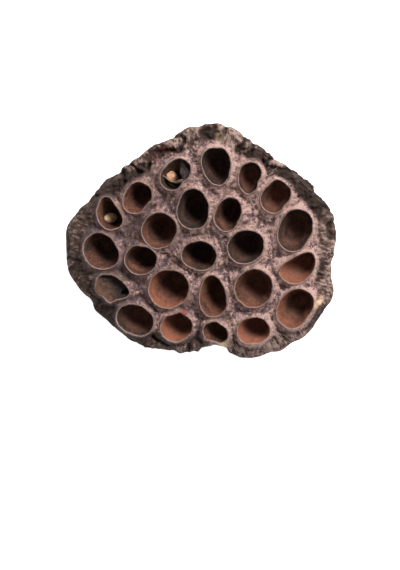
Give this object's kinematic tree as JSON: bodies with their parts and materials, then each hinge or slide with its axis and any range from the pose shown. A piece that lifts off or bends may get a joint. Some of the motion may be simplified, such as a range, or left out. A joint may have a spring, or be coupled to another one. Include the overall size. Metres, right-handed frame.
{
  "type": "dried lotus pod",
  "caption": "Dried lotus seed head: a woody, ribbed funnel with a low domed face of open seed chambers and a wrinkled rim, standing face up on its cut stem.",
  "frame": {"origin": "on the surface that the pod stands on, below the middle of the pod's box", "axes": "+Z up, out of the seed face; +X to the right and +Y up as the face is seen from above"},
  "size_m": [0.0935, 0.0817, 0.0469],
  "materials": {
    "pod": "dry, matt and spongy, mauve brown with dark creases and pale chamber lips",
    "seed_husk": "dry tan seed skin with a faint sheen"
  },
  "bodies": {
    "root": {"pod": "pod", "seed_husk_upper": "seed_husk", "seed_husk_left": "seed_husk"}
  },
  "joints": []
}
